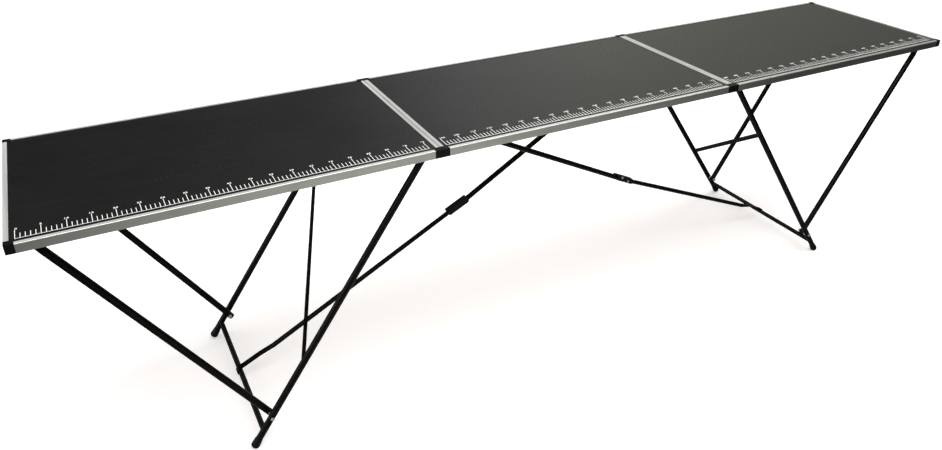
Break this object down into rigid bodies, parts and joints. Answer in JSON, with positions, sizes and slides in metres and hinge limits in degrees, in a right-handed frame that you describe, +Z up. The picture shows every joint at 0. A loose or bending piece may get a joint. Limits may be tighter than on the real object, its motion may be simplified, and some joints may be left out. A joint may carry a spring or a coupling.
{
  "type": "folding wallpaper pasting table",
  "caption": "Long folding pasting table: hinged black boards in aluminium edge rails with a ruled front edge, on splayed tubular legs with over-centre braces.",
  "frame": {"origin": "on the floor under the middle of the table top", "axes": "X along the table, -Y towards the ruled front edge, +Z up"},
  "size_m": [2.9992, 0.6, 0.785],
  "materials": {
    "aluminium": "satin mill-finish extrusion with a brighter rounded top edge",
    "board": "black satin laminate on hardboard, printed with a white centimetre ruler along the front",
    "black_plastic": "moulded black plastic",
    "black_paint": "satin black powder coat on steel tube",
    "zinc": "bright zinc-plated steel"
  },
  "bodies": {
    "middle_section": {"middle_board": "board", "middle_front_rail": "aluminium", "middle_rear_rail": "aluminium", "middle_left_rail": "aluminium", "middle_right_rail": "aluminium", "middle_front_left_cap": "black_plastic", "middle_front_right_cap": "black_plastic", "middle_rear_left_cap": "black_plastic", "middle_rear_right_cap": "black_plastic", "left_brace_bracket": "zinc", "right_brace_bracket": "zinc"},
    "left_section": {"left_board": "board", "left_front_rail": "aluminium", "left_rear_rail": "aluminium", "left_inner_rail": "aluminium", "left_outer_rail": "aluminium", "left_front_inner_cap": "black_plastic", "left_front_outer_cap": "black_plastic", "left_rear_inner_cap": "black_plastic", "left_rear_outer_cap": "black_plastic", "left_front_leg_pivot": "zinc", "left_rear_leg_pivot": "zinc", "left_uframe_clip": "black_plastic"},
    "left_leg_frame": {"left_front_leg": "black_paint", "left_rear_leg": "black_paint", "left_front_foot": "black_plastic", "left_rear_foot": "black_plastic", "left_front_bolt": "zinc", "left_rear_bolt": "zinc", "left_crossbar": "black_paint", "left_diagonal": "black_paint"},
    "left_uframe_body": {"left_uframe": "black_paint"},
    "left_brace_upper_body": {"left_brace_upper": "black_paint", "left_brace_knuckle": "black_plastic"},
    "left_rod_body": {"left_brace_rod": "black_paint"},
    "right_section": {"right_board": "board", "right_front_rail": "aluminium", "right_rear_rail": "aluminium", "right_inner_rail": "aluminium", "right_outer_rail": "aluminium", "right_front_inner_cap": "black_plastic", "right_front_outer_cap": "black_plastic", "right_rear_inner_cap": "black_plastic", "right_rear_outer_cap": "black_plastic", "right_front_leg_pivot": "zinc", "right_rear_leg_pivot": "zinc", "right_uframe_clip": "black_plastic"},
    "right_leg_frame": {"right_front_leg": "black_paint", "right_rear_leg": "black_paint", "right_front_foot": "black_plastic", "right_rear_foot": "black_plastic", "right_front_bolt": "zinc", "right_rear_bolt": "zinc", "right_crossbar": "black_paint", "right_diagonal": "black_paint"},
    "right_uframe_body": {"right_uframe": "black_paint"},
    "right_brace_upper_body": {"right_brace_upper": "black_paint", "right_brace_knuckle": "black_plastic"},
    "right_rod_body": {"right_brace_rod": "black_paint"}
  },
  "joints": [
    {"name": "left_section_fold", "type": "hinge", "parent": "middle_section", "child": "left_section", "pos_m": [-0.5, 0, 0.7625], "axis": [0, 1, 0], "range_deg": [-70, 0]},
    {"name": "left_leg_swing", "type": "hinge", "parent": "left_section", "child": "left_leg_frame", "pos_m": [-0.5405, 0, 0.767], "axis": [0, -1, 0], "range_deg": [0, 40]},
    {"name": "left_uframe_swing", "type": "hinge", "parent": "left_leg_frame", "child": "left_uframe_body", "pos_m": [-1.0211, 0, 0.085], "axis": [0, 1, 0], "range_deg": [-55, 0]},
    {"name": "left_brace_pivot", "type": "hinge", "parent": "middle_section", "child": "left_brace_upper_body", "pos_m": [0.416, 0.09605, 0.765], "axis": [0, 1, 0], "range_deg": [0, 24.46]},
    {"name": "left_knuckle_rivet", "type": "hinge", "parent": "left_brace_upper_body", "child": "left_rod_body", "pos_m": [-0.30819, 0.04993, 0.38699], "axis": [0, 1, 0], "range_deg": [-118.02, 0]},
    {"name": "right_section_fold", "type": "hinge", "parent": "middle_section", "child": "right_section", "pos_m": [0.5, 0, 0.7625], "axis": [0, 1, 0], "range_deg": [0, 70]},
    {"name": "right_leg_swing", "type": "hinge", "parent": "right_section", "child": "right_leg_frame", "pos_m": [0.5405, 0, 0.767], "axis": [0, -1, 0], "range_deg": [-40, 0]},
    {"name": "right_uframe_swing", "type": "hinge", "parent": "right_leg_frame", "child": "right_uframe_body", "pos_m": [1.0211, 0, 0.085], "axis": [0, 1, 0], "range_deg": [0, 55]},
    {"name": "right_brace_pivot", "type": "hinge", "parent": "middle_section", "child": "right_brace_upper_body", "pos_m": [-0.416, -0.09605, 0.765], "axis": [0, 1, 0], "range_deg": [-24.46, 0]},
    {"name": "right_knuckle_rivet", "type": "hinge", "parent": "right_brace_upper_body", "child": "right_rod_body", "pos_m": [0.30819, -0.04993, 0.38699], "axis": [0, 1, 0], "range_deg": [0, 118.02]}
  ],
  "couplings": [
    {"joint": "left_brace_pivot", "follows": "left_section_fold", "ratio": -0.34934},
    {"joint": "left_knuckle_rivet", "follows": "left_section_fold", "ratio": 1.6858},
    {"joint": "right_brace_pivot", "follows": "right_section_fold", "ratio": -0.34934},
    {"joint": "right_knuckle_rivet", "follows": "right_section_fold", "ratio": 1.6858}
  ]
}
